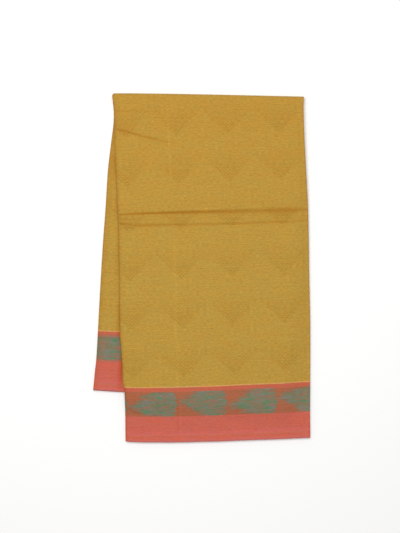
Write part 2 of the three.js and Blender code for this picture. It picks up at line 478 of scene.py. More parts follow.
    back_marks: tuple[PressMark, ...] = (
        # A faint crease across the back packet.
        PressMark(
            (
                PressPoint(0.0, -198.0, 0.20, 1.8, 0.25),
                PressPoint(60.0, -201.0, 0.20, 2.2, 0.20),
                PressPoint(343.0, -205.0, 0.10, 2.2, 0.10),
            )
        ),
        # A shorter one nearer the back hem.
        PressMark(
            (
                PressPoint(2.0, -332.0, 0.15, 1.8, 0.18),
                PressPoint(70.0, -326.0, 0.05, 2.2, 0.05),
            )
        ),
        # The painted shadow beside the front packet's edge, where it lies on the back packet.
        PressMark(
            (
                PressPoint(4.4, -68.0, 0.0, 3.0, 0.30),
                PressPoint(14.0, -143.0, 0.0, 3.2, 0.45),
                PressPoint(22.5, -214.0, 0.0, 3.0, 0.42),
                PressPoint(29.4, -273.0, 0.0, 3.0, 0.40),
                PressPoint(35.2, -349.0, 0.0, 3.2, 0.52),
                PressPoint(42.2, -441.0, 0.0, 3.3, 0.88),
                PressPoint(48.4, -492.0, 0.0, 3.5, 1.00),
                PressPoint(52.4, -540.0, 0.0, 3.5, 1.00),
            )
        ),
    )
    front_ripple: Ripple = Ripple(
        7, (310, 190, 128, 91, 57, 38), (0.13, 0.11, 0.08, 0.06, 0.03, 0.025)
    )
    back_ripple: Ripple = Ripple(9, (260, 150, 83), (0.08, 0.06, 0.03))

    @property
    def fold_inside(self) -> float:
        """Radius at the packets' facing sides, inside the doubled fold."""
        return self.gap / 2

    @property
    def fold_quarter(self) -> float:
        """Length of a quarter turn round the outside of the doubled fold."""
        return math.pi / 2 * (self.fold_inside + self.packet)

    @property
    def front_threads(self) -> tuple[Thread, ...]:
        """Threads across the front packet."""
        return (
            Thread(self.fold_quarter, 306.2, 300.4, 1.0),
            Thread(212.0, 97.0, 107.5, 0.8),
            Thread(237.0, 71.8, 83.5, 0.8),
            Thread(self.front_border, -216.0, -206.3, -3.0),
            Thread(self.front_hem, -311.6, -305.1, -3.6),
        )

    @property
    def back_threads(self) -> tuple[Thread, ...]:
        """Threads across the back packet."""
        return (
            Thread(self.back_hem, -220.3, -239.0, -0.6),
            Thread(self.back_border, -116.3, -134.5, 0.0),
            Thread(-self.fold_quarter, 306.2, 300.4, 1.0),
        )

    def half_plan(
        self,
        across: np.ndarray,
        along: np.ndarray,
        threads: tuple[Thread, ...],
        left: tuple[EdgePoint, ...],
        right: tuple[EdgePoint, ...],
    ) -> tuple[np.ndarray, np.ndarray]:
        """Where places on one packet lie, seen from above.

        Args:
            across: Places across the strip.
            along: Places along the cloth, on that packet.
            threads: The packet's threads.
            left: Its left edge.
            right: Its right edge.

        Returns:
            Their x and y.
        """
        share = across / self.strip_width
        places = [t.along for t in threads]
        left_y = smooth_read(along, places, [t.left for t in threads])
        right_y = smooth_read(along, places, [t.right for t in threads])
        left_x = smooth_read(left_y, [e.y for e in left], [e.x for e in left])
        right_x = smooth_read(right_y, [e.y for e in right], [e.x for e in right])
        bowed = np.sin(math.pi * np.maximum(share, 0.0) ** self.bow_skew)
        bow = smooth_read(along, places, [t.bow for t in threads]) * bowed
        return left_x + (right_x - left_x) * share, left_y + (right_y - left_y) * share + bow

    def plan(self, across: np.ndarray, along: np.ndarray) -> tuple[np.ndarray, np.ndarray]:
        """Where places on the cloth lie, seen from above.

        Args:
            across: Places across the strip from the spine.
            along: Places along the cloth from the doubled fold.

        Returns:
            Their x and y.
        """
        reach = np.maximum(np.abs(along), self.fold_quarter)
        front = self.half_plan(across, reach, self.front_threads, self.front_left, self.front_right)
        back = self.half_plan(across, -reach, self.back_threads, self.back_left, self.back_right)
        return np.where(along > 0, front[0], back[0]), np.where(along > 0, front[1], back[1])

    def support(self, x: np.ndarray, y: np.ndarray) -> np.ndarray:
        """How far the back packet holds up the front.

        Args:
            x: Places from left to right.
            y: Places from the hem to the fold.

        Returns:
            1 where it lies on the back packet, 0 where it lies on the floor.
        """
        hem = self.back_threads[0]
        left_x, right_x = self.back_left[-1].x, self.back_right[-1].x
        side = smooth_read(y, [e.y for e in self.back_right], [e.x for e in self.back_right])
        hem_y = hem.left + (hem.right - hem.left) * (x - left_x) / (right_x - left_x)
        past_side = np.maximum(0.0, x - side - self.sink_start)
        past_hem = np.maximum(0.0, hem_y - self.sink_start - y)
        return 1.0 - smooth_step(np.hypot(past_side, past_hem) / self.sink_length)

    def relief(self, across: np.ndarray, along: np.ndarray) -> tuple[np.ndarray, np.ndarray]:
        """Reads the press marks and the soft unevenness of the packets' upper sides.

        Args:
            across: Places across the strip.
            along: Places along the cloth.

        Returns:
            How deep the upper side lies below a plain packet's, and its press tone of painted shade
            and highlight.
        """
        calm = smooth_step((np.abs(along) - self.fold_quarter) / self.calm_length)
        sides = []
        front_side = self.front_marks, self.front_ripple
        back_side = self.back_marks, self.back_ripple
        for marks, ripple in (front_side, back_side):
            read = [mark.read(across, along) for mark in marks]
            low = sum(ripple.heights)
            depth = sum(depth for depth, _ in read) + low / 2 - ripple.read(across, along)
            sides.append((depth * calm, sum(tone for _, tone in read) * calm))
        (front, front_tone), (back, back_tone) = sides
        return np.where(along > 0, front, back), np.where(along > 0, front_tone, back_tone)

    def place(self, across: np.ndarray, along: np.ndarray, through: np.ndarray) -> np.ndarray:
        """Where points of the folded cloth lie.

        Args:
            across: Places across the strip from the spine.
            along: Places along the cloth from the doubled fold.
            through: Heights through the packet from its facing side.

        Returns:
            An array of points with x, y and z in the last axis.
        """
        x, y = self.plan(across, along)
        depth = self.relief(across, along)[0]
        lift = (self.packet + self.gap) * self.support(x, y)
        front_z = lift + through * (1 - depth / self.packet)
        back_z = (self.packet - through) * (1 - depth / self.packet)
        left_x, left_y = self.plan(np.array(0.0), np.array(self.fold_quarter))
        right_x, right_y = self.plan(np.array(self.strip_width), np.array(self.fold_quarter))
        run = math.hypot(right_x - left_x, right_y - left_y)
        turn = math.pi / 2 * np.clip(along / self.fold_quarter, -1.0, 1.0)
        reach = (self.fold_inside + through) * np.cos(turn)
        fold_z = self.packet + self.fold_inside + (self.fold_inside + through) * np.sin(turn)
        in_fold = np.abs(along) < self.fold_quarter
        z = np.where(in_fold, fold_z, np.where(along > 0, front_z, back_z))
        x = x - np.where(in_fold, (right_y - left_y) / run * reach, 0.0)
        y = y + np.where(in_fold, (right_x - left_x) / run * reach, 0.0)
        return np.stack([x, y, z], axis=-1)


@dataclass(frozen=True)
class FoldedStack:
    """The sixteen panels of the strip, halved four times, and the creases that join them.

    Level 0 is the outermost panel. Air under it leaves room for its press marks. The panels
    that one crease at the layered side wraps are a group, which stands back by one inset.
    """

    lie: Lie
    halvings: int = 4
    cloth_thickness: float = 0.3
    outer_margin: float = 0.22
    upper_air: float = 1.1
    lower_air: float = 0.5
    crease_steps: int = 7
    spine_step: float = 0.22
    side_step: float = 0.35
    side_sway_reach: float = 22.0
    hem_insets: tuple[float, float] = (0.5, 3.6)
    tail: float = 34.0
    sink_across: float = 284.0
    sink_pitch: float = 5.0
    press_reach: float = 6.0
    press_pitch: float = 1.5
    group_ends: tuple[int, ...] = (1, 2, 4, 8, 16)
    group_insets: tuple[float, ...] = (0.0, 2.3, 1.2, 2.7, 0.9)
    seed: int = 11

    @property
    def panels(self) -> int:
        """How many panels lie on each other."""
        return 2**self.halvings

    def levels(self) -> list[int]:
        """Works out the level of each panel in the packet, in the cloth's own order.

        Returns:
            The levels, 0 outermost.
        """
        columns = [[panel] for panel in range(self.panels)]
        while len(columns) > 1:
            half = len(columns) // 2
            turned = [column[::-1] for column in columns[half:][::-1]]
            columns = [upper + lower for upper, lower in zip(turned, columns[:half])]
        order = columns[0][::-1]
        return [order.index(panel) for panel in range(self.panels)]

    def through(self, level: int) -> float:
        """The height of a level's middle through the packet.

        Args:
            level: The level.

        Returns:
            Its height from the facing side.
        """
        top = self.lie.packet - self.outer_margin
        if level == 0:
            return top
        if level == self.panels - 1:
            return self.outer_margin
        high, low = top - self.upper_air, self.outer_margin + self.lower_air
        last_inner = self.panels - 2
        return high + (low - high) * (level - 1) / (last_inner - 1)

    def group_of(self, level: int) -> int:
        """The group of panels that one crease on the layered side wraps.

        Args:
            level: The level.

        Returns:
            The group, 0 for the outermost panel alone.
        """
        return next(group for group, end in enumerate(self.group_ends) if level < end)

    def side_inset(self, level: int) -> float:
        """How far a level stands back from the strip's layered side.

        Args:
            level: The level.

        Returns:
            The distance, longer for the panels that nest inside others.
        """
        group = self.group_of(level)
        start, end = self.group_ends[max(group - 1, 0)], self.group_ends[group] - 1
        nested = min(level - start, end - level) if group > 1 else 0
        return self.group_insets[group] + self.side_step * nested

    def panel_ends(self, panel: int, levels: list[int]) -> tuple[float, float]:
        """Where the flat of a panel starts and ends across the strip.

        Args:
            panel: The panel.
            levels: The level of each panel.

        Returns:
            Its end at the spine and its end at the layered side.
        """
        level = levels[panel]
        low = self.lie.packet / 2 + self.spine_step * min(level, self.panels - 1 - level)
        high = self.lie.strip_width - self.side_inset(level)
        over_side = panel - 1 if panel % 2 == 0 else panel + 1
        if 0 <= over_side < self.panels:
            high -= abs(self.through(levels[over_side]) - self.through(level)) / 2
        return low, high

    def columns(self, panel: int, low: float, high: float, pitch: float) -> np.ndarray:
        """Places across a panel, closer where the front packet sinks and at the press line.

        Args:
            panel: The panel.
            low: Its first place from the spine.
            high: Its last place.
            pitch: The wanted distance between them on the flat.

        Returns:
            The places, rising.
        """
        sink = min(max(low, self.sink_across), high)
        flat = spread_places(low, sink, pitch)
        sinking = spread_places(sink, high, min(pitch, self.sink_pitch))
        places = np.unique(np.concatenate([flat, sinking]))
        if panel > 0:
            return places
        line, reach = self.lie.press_line, self.press_reach
        press = line + spread_places(-reach, reach, self.press_pitch)
        clear = np.abs(places - line) > reach + self.press_pitch
        return np.sort(np.concatenate([places[clear], press]))

    def flat(self, panel: int, low: float, high: float, pitch: float) -> list[StackPoint]:
        """The line of cloth along one panel.

        Args:
            panel: The panel.
            low: Its end at the spine.
            high: Its end at the layered side.
            pitch: The wanted distance between points.

        Returns:
            The points, in the cloth's own order.
        """
        width, level = self.lie.strip_width, self.levels()[panel]
        inset = float(np.random.default_rng(self.seed + panel).uniform(*self.hem_insets))
        points = []
        for across in self.columns(panel, low, high, pitch):
            passed = across if panel % 2 else width - across
            cloth = across if panel == 0 else -(panel - 1) * width - passed
            sway = float(smooth_step((across - width) / self.side_sway_reach + 1))
            hem_inset = inset if panel else 0.0
            place = (across, self.through(level), cloth)
            points.append(StackPoint(*place, hem_inset, sway, self.group_of(level)))
        return points if panel % 2 else points[::-1]

    def crease(self, before: StackPoint, after: StackPoint, at_side: bool) -> list[StackPoint]:
        """The half turn of cloth between two panels.

        Args:
            before: The last point of the panel before it.
            after: The first point of the panel after it.
            at_side: Whether it lies at the layered side rather than the spine.

        Returns:
            The points between.
        """
        points = []
        radius = (before.through - after.through) / 2
        out = abs(radius) if at_side else -abs(radius)
        for step in range(1, self.crease_steps):
            share = step / self.crease_steps
            angle = math.pi * share
            across = before.across + (after.across - before.across) * share + out * math.sin(angle)
            through = (before.through + after.through) / 2 + radius * math.cos(angle)
            cloth = before.cloth + (after.cloth - before.cloth) * share
            inset = before.hem_inset + (after.hem_inset - before.hem_inset) * share
            points.append(StackPoint(across, through, cloth, inset, float(at_side), before.group))
        return points

    def section(self, pitches: dict[int, float]) -> list[StackPoint]:
        """The line of cloth through some panels. The third is shared, and cut at the tail.

        Args:
            pitches: The panels, in order, and the wanted distance between points on each.

        Returns:
            The points, in the cloth's own order.
        """
        levels, line = self.levels(), []
        shared, last = 2, max(pitches)
        for panel, pitch in pitches.items():
            low, high = self.panel_ends(panel, levels)
            if panel == shared and panel == last:
                low = high - self.tail
            elif panel == shared:
                high -= self.tail
            points = self.flat(panel, low, high, pitch)
            if line:
                line += self.crease(line[-1], points[0], panel % 2 == 0)
            line += points
        return line


@dataclass(frozen=True)
class ClothSheet:
    """A stretch of cloth swept along the saree, as a thin shell."""

    name: str
    stack: FoldedStack
    line: list[StackPoint]
    rows: np.ndarray
    side_lengths: tuple[float, ...] = (260.0, 120.0, 61.0)
    side_heights: tuple[float, ...] = (0.1, 0.8, 0.5, 0.8, 0.3)
    hem_wave: Ripple = Ripple(23, (170.0, 74.0, 31.0), (0.25, 0.15, 0.08))
    edge_angle: float = 50.0

    def build(self) -> Piece:
        """Makes the mesh from a grid and gives it the cloth's thickness.

        Returns:
            The finished piece, with its cloth coordinates and its press tone of painted shade and
            highlight on it.
        """
        lie = self.stack.lie
        bpy.ops.object.select_all(action="DESELECT")
        steps = len(self.line) - 1, len(self.rows) - 1
        bpy.ops.mesh.primitive_grid_add(x_subdivisions=steps[0], y_subdivisions=steps[1], size=2)
        piece = bpy.context.active_object
        piece.name = piece.data.name = self.name
        mesh = piece.data
        grid = np.zeros(len(mesh.vertices) * 3)
        mesh.vertices.foreach_get("co", grid)
        i, j = (np.rint((grid.reshape(-1, 3)[:, k] + 1) / 2 * steps[k]).astype(int) for k in (0, 1))
        columns = (np.array(column)[i] for column in zip(*self.line))
        across, through, cloth, inset, sway, group = columns
        along = self.rows[j]
        across = across - self.wander(along, group) * sway
        hem = np.where(along > 0, lie.front_hem, -lie.back_hem)
        wave = self.hem_wave.read(cloth, along * 0)
        placed = along * (1 - (inset + np.abs(wave)) / hem)
        mesh.vertices.foreach_set("co", (lie.place(across, placed, through) * MM).ravel())
        height = np.where(along > 0, through, lie.packet - through)
        upper = height > lie.packet - self.stack.cloth_thickness
        # Painted shade on the rounded spine edges of both packets.
        spine = lie.spine_painted_shade * np.exp(-((across / lie.spine_reach) ** 2))
        tone = mesh.attributes.new(PAINTED_LIGHT_TONE, "FLOAT", "POINT")
        tone.data.foreach_set("value", np.where(upper, lie.relief(across, placed)[1], 0.0) + spine)
        self.lay_cloth_map(mesh, cloth * MM, along * MM)
        self.thicken(piece)
        return piece

    def wander(self, along: np.ndarray, group: np.ndarray) -> np.ndarray:
        """How far the layered side's edges wander in, alike for panels that are creased together.

        Args:
            along: Places along the cloth.
            group: The group of panels at those places.

        Returns:
            The distances.
        """
        total = np.zeros_like(along)
        for k, height in enumerate(self.side_heights):
            heights = tuple(height / (step + 1) for step in range(len(self.side_lengths)))
            ripple = Ripple(self.stack.seed + k, self.side_lengths, heights)
            total = np.where(group == k, np.abs(ripple.read(along * 0, along)), total)
        return total

    @staticmethod
    def lay_cloth_map(mesh: bpy.types.Mesh, u: np.ndarray, v: np.ndarray) -> None:
        """Writes the unfolded cloth's coordinates as the piece's UV map.

        Args:
            mesh: The piece's mesh.
            u: Metres along the unfolded cloth, by vertex.
            v: Metres from the doubled fold, by vertex.
        """
        layer = mesh.uv_layers.active
        layer.name = CLOTH_MAP
        corner = np.zeros(len(mesh.loops), int)
        mesh.loops.foreach_get("vertex_index", corner)
        layer.data.foreach_set("uv", np.stack([u[corner], v[corner]], axis=1).ravel())

    def thicken(self, piece: Piece) -> None:
        """Turns the surface into a shell with smooth faces and crisp cut edges.

        Args:
            piece: The piece.
        """
        solid = piece.modifiers.new("cloth", "SOLIDIFY")
        solid.thickness = self.stack.cloth_thickness * MM
        solid.offset = 0.0
        bpy.context.view_layer.objects.active = piece
        bpy.ops.object.modifier_apply(modifier=solid.name)
        bpy.ops.object.shade_smooth_by_angle(angle=math.radians(self.edge_angle))


def linear_colour(code: str) -> tuple[float, float, float, float]:
    """Turns an sRGB hex colour into linear red, green, blue and alpha.

    Args:
        code: The colour, such as #B99039.

    Returns:
        Its linear values.
    """
    parts = [int(code[k : k + 2], 16) / 255 for k in (1, 3, 5)]
    return (*[c / 12.92 if c <= 0.04045 else ((c + 0.055) / 1.055) ** 2.4 for c in parts], 1.0)


def add_node(tree: Tree, kind: str, inputs: tuple | dict = (), **settings) -> Node:
    """Adds a node with its settings and links.

    Args:
        tree: The material's nodes.
        kind: The node's type.
        inputs: Values, sockets or nodes for its inputs, in order or by name.
        **settings: The node's own settings. A ramp's stops are given as stops.

    Returns:
        The new node.
    """
    node = tree.nodes.new(kind)
    stops = settings.pop("stops", ())
    for name, value in settings.items():
        setattr(node, name, value)
    for place, _ in stops[1:-1]:
        node.color_ramp.elements.new(place)
    for element, (place, colour) in zip(node.color_ramp.elements if stops else (), stops):
        element.position = place
        grey = not isinstance(colour, str)
        element.color = (colour, colour, colour, 1.0) if grey else linear_colour(colour)
    used = [socket for socket in node.inputs if socket.enabled]
    for key, value in inputs.items() if isinstance(inputs, dict) else zip(used, inputs):
        socket = node.inputs[key] if isinstance(key, str) else key
        if isinstance(value, Node):
            value = next(output for output in value.outputs if output.enabled)
        if isinstance(value, Socket):
            tree.links.new(value, socket)
        else:
            socket.default_value = value
    return node


@dataclass(frozen=True)
class HandloomCotton:
    """Handloom cotton: yarn that was dyed first, then woven plain and pressed flat.

    To the eye it is matte, with a fine grain of slubs that runs across the strip, a slight
    mottle where the yarn took the dye unevenly, painted shade, warmer and darker, in its creases
    and beside edges, and painted highlights on some crease lips.
    The yarns are 0.35 mm apart. They are drawn 0.8 mm apart, so that they show from near by.
    """

    yarn_pitch: float = 0.8
    noise_detail: float = 2.5
    noise_roughness: float = 0.6
    noise_span: tuple[float, float] = (0.3, 0.7)
    slubs: Streaks = Streaks(46.0, 1.9, 0.935, 1.065)
    grain: Streaks = Streaks(6.0, 2.0, 0.87, 1.13)
    dye: Streaks = Streaks(34.0, 17.0, 0.0, 1.0)
    dye_warm: tuple[float, float, float] = (1.03, 0.98, 0.91)
    dye_cool: tuple[float, float, float] = (0.97, 1.02, 1.09)
    # The colour of painted shade and the brightening of painted highlight, both set by the press
    # tone.
    painted_shade_colour: tuple[float, float, float] = (0.80, 0.58, 0.18)
    painted_highlight: float = 1.09
    end_width: float = 1.6
    end_blur: float = 0.5
    end_stain: tuple[float, float, float] = (0.92, 0.76, 0.66)
    yarn_relief: tuple[float, float, float] = (0.012, 0.02, 0.0)
    weave_height: float = 0.0006
    weave_strength: float = 0.9
    roughness: float = 0.88
    sheen: float = 0.10
    sheen_roughness: float = 0.5
    specular: float = 0.2

    def cloth(self, tree: Tree) -> tuple[Node, Socket, Socket]:
        """Adds the unfolded cloth's coordinates in millimetres.

        Args:
            tree: The material's nodes.

        Returns:
            The coordinates as a vector, and as two numbers.
        """
        place = add_node(tree, "ShaderNodeUVMap", uv_map=CLOTH_MAP)
        scaled = add_node(tree, VECTOR, (place, (1 / MM, 1 / MM, 0.0)), operation="MULTIPLY")
        parts = add_node(tree, "ShaderNodeSeparateXYZ", (scaled,))
        return scaled, parts.outputs[0], parts.outputs[1]

    def patches(self, tree: Tree, cloth: Node, streaks: Streaks) -> Node:
        """Adds noise in patches, stretched the way that the yarns run.

        Args:
            tree: The material's nodes.
            cloth: The cloth's coordinates.
            streaks: The patches' size and values.

        Returns:
            The noise, between those values.
        """
        scale = (1 / streaks.across, 1 / streaks.along, 0.0)
        at = add_node(tree, VECTOR, (cloth, scale), operation="MULTIPLY")
        fineness = {"Detail": self.noise_detail, "Roughness": self.noise_roughness}
        noise = add_node(tree, NOISE, {"Vector": at, "Scale": 1.0, **fineness})
        return add_node(tree, RANGE, (noise, *self.noise_span, streaks.low, streaks.high))

    def finish(self, tree: Tree, lie: Lie, cloth: Node, u: Socket, colour: Node) -> None:
        """Adds the yarns, the press tone's painted shade and highlight, the raw end, the surface's
        response and the output.

        Args:
            tree: The material's nodes.
            lie: How the saree lies, for the strip's width.
            cloth: The cloth's coordinates.
            u: Its distance along the unfolded cloth.
            colour: The woven colour.
        """
        slubs, grain = (self.patches(tree, cloth, streaks) for streaks in (self.slubs, self.grain))
        light = add_node(tree, MATH, (slubs, grain), operation="MULTIPLY")
        dye = self.patches(tree, cloth, self.dye)
        hue = add_node(tree, MIX, (dye, self.dye_warm, self.dye_cool), data_type="VECTOR")
        dyed = add_node(tree, VECTOR, (colour, hue), operation="MULTIPLY")
        lit = add_node(tree, VECTOR, (dyed, light), operation="SCALE")
        # The press tone paints shade into creases and beside edges, and paints highlights where it is
        # below 0.
        tone = add_node(tree, "ShaderNodeAttribute", attribute_name=PAINTED_LIGHT_TONE)
        highlight = add_node(tree, RANGE, (tone.outputs["Fac"], -1.0, 0.0, self.painted_highlight, 1.0))
        highlighted = add_node(tree, VECTOR, (lit, highlight), operation="SCALE")
        shade_coloured = add_node(tree, VECTOR, (highlighted, self.painted_shade_colour), operation="MULTIPLY")
        shade_share = add_node(tree, MATH, (tone.outputs["Fac"], 1.0), operation="MULTIPLY", use_clamp=True)
        pressed = add_node(tree, MIX, (shade_share, highlighted, shade_coloured), data_type="VECTOR")
        raw_end = lie.strip_width - self.end_width
        end = add_node(tree, RANGE, (u, raw_end - self.end_blur, raw_end + self.end_blur, 0.0, 1.0))
        at_end = add_node(tree, VECTOR, (pressed, self.end_stain), operation="MULTIPLY")
        whole = add_node(tree, MIX, (end, pressed, at_end), data_type="VECTOR")
        turns = 2 * math.pi / self.yarn_pitch
        yarns = add_node(tree, VECTOR, (cloth, (turns, turns, 0.0)), operation="MULTIPLY")
        waves = add_node(tree, VECTOR, (yarns,), operation="SINE")
        weave = add_node(tree, VECTOR, (waves, self.yarn_relief), operation="DOT_PRODUCT")
        height = add_node(tree, MATH, (weave, light), operation="ADD")
        relief = {"Strength": self.weave_strength, "Distance": self.weave_height, "Height": height}
        bump = add_node(tree, "ShaderNodeBump", relief)
        shader = add_node(
            tree,
            "ShaderNodeBsdfPrincipled",
            {
                "Base Color": whole,
                "Roughness": self.roughness,
                "Sheen Weight": self.sheen,
                "Sheen Roughness": self.sheen_roughness,
                "Specular IOR Level": self.specular,
                "Normal": bump,
            },
        )
        add_node(tree, "ShaderNodeOutputMaterial", (shader,))


@dataclass(frozen=True)
class FieldCotton(HandloomCotton):
    """The field: mustard cotton with a fine lattice woven tone on tone, in pointed fans.

    The lattice floats the weft, so it looks a little darker and oranger than the plain weave,
    and shows only from near by. Towards the doubled fold the cloth is a little warmer.
    """

    grain: Streaks = Streaks(6.0, 2.0, 0.85, 1.15)
    mustard: str = "#B58F3A"
    lattice_tone: str = "#AD8430"
    pale_yarn: str = "#CE9A5A"
    coral_yarn: str = "#BE6246"
    lattice_pitch: float = 6.6
    line_edges: tuple[float, float] = (0.612, 0.18)
    fan_pitch: float = 92.1
    fan_apex: float = 20.0
    row_pitch: float = 86.5
    row_apex: float = 503.0
    lean: tuple[float, float] = (0.036, 0.014)
    lean_zone: tuple[float, float] = (150.0, 250.0)
    fan_edge: tuple[float, float] = (-3.0, 4.0)
    fan_fade: tuple[float, float] = (10.0, 58.0)
    pale_line: float = 3.6
    coral_line: float = 1.7
    line_blur: float = 0.3
    fold_warmth: tuple[float, float, float] = (1.03, 0.955, 0.87)
    fold_reach: float = 330.0

    def make(self, lie: Lie) -> bpy.types.Material:
        """Builds the material from the cloth's coordinates.

        Args:
            lie: How the saree lies, for the places of its borders.

        Returns:
            The material.
        """
        # Plain-woven dyed yarn is matte, and the lattice is only a slight change of its tone.
        material = bpy.data.materials.new("mustard_handloom_cotton")
        material.use_nodes = True
        tree = material.node_tree
        tree.nodes.clear()
        cloth, u, v = self.cloth(tree)
        fans = self.fans(tree, lie, u, v)
        drawn = add_node(tree, MATH, (self.lattice(tree, u, v), fans), operation="MULTIPLY")
        tones = linear_colour(self.mustard), linear_colour(self.lattice_tone)
        colour = add_node(tree, MIX, (drawn, *tones), data_type="RGBA")
        to_fold = add_node(tree, MATH, (v,), operation="ABSOLUTE")
        handled = add_node(tree, RANGE, (to_fold, 0.0, self.fold_reach, 1.0, 0.0))
        warm = add_node(tree, VECTOR, (colour, self.fold_warmth), operation="MULTIPLY")
        colour = add_node(tree, MIX, (handled, colour, warm), data_type="RGBA")
        to_front = add_node(tree, MATH, (lie.front_border, v), operation="SUBTRACT")
        to_back = add_node(tree, MATH, (v, lie.back_border), operation="SUBTRACT")
        near = add_node(tree, MATH, (to_front, to_back), operation="MINIMUM")
        for start, yarn in ((self.pale_line, self.pale_yarn), (self.coral_line, self.coral_yarn)):
            span = start + self.line_blur, start - self.line_blur
            line = add_node(tree, RANGE, (near, *span, 0.0, 1.0))
            colour = add_node(tree, MIX, (line, colour, linear_colour(yarn)), data_type="RGBA")
        self.finish(tree, lie, cloth, u, colour)
        return material

    def lattice(self, tree: Tree, u: Socket, v: Socket) -> Node:
        """Adds crossing lines at 45 degrees.

        Args:
            tree: The material's nodes.
            u: Distance along the unfolded cloth.
            v: Distance from the doubled fold.

        Returns:
            1 on a line and 0 in a diamond.
        """
        half = self.lattice_pitch / 2
        lines = []
        for operation in ("ADD", "SUBTRACT"):
            run = add_node(tree, MATH, (u, v), operation=operation)
            wave = add_node(tree, MATH, (run, half), operation="PINGPONG")
            outer, inner = (half * share for share in self.line_edges)
            lines.append(add_node(tree, RANGE, (wave, outer, inner, 0.0, 1.0)))
        return add_node(tree, MATH, (lines[0], lines[1]), operation="MAXIMUM")

    def fans(self, tree: Tree, lie: Lie, u: Socket, v: Socket) -> Node:
        """Adds the places of the lattice: rows of fans, points to the hem, that fade upwards.

        The rows lean, since the cloth is folded a little askew, and more so near the fold.

        Args:
            tree: The material's nodes.
            lie: How the saree lies, for the strip's width.
            u: Distance along the unfolded cloth.
            v: Distance from the doubled fold.

        Returns:
            1 where the lattice is woven fully, and 0 where the cloth is plain.
        """
        shifted = add_node(tree, MATH, (u, self.fan_apex), operation="SUBTRACT")
        off = add_node(tree, MATH, (shifted, self.fan_pitch / 2), operation="PINGPONG")
        lean = add_node(tree, RANGE, (v, *self.lean_zone, *self.lean))
        to_side = add_node(tree, MATH, (lie.strip_width, u), operation="SUBTRACT")
        lower_by = add_node(tree, MATH, (lean, to_side, self.row_apex), operation="MULTIPLY_ADD")
        up = add_node(tree, MATH, (lower_by, v), operation="SUBTRACT")
        rise = add_node(tree, MATH, (up, self.row_pitch, 0.0), operation="WRAP")
        inside = add_node(tree, MATH, (rise, off), operation="SUBTRACT")
        lower = add_node(tree, RANGE, (inside, *self.fan_edge, 0.0, 1.0))
        upper = add_node(tree, RANGE, (rise, *self.fan_fade, 1.0, 0.0))
        return add_node(tree, MATH, (lower, upper), operation="MULTIPLY")


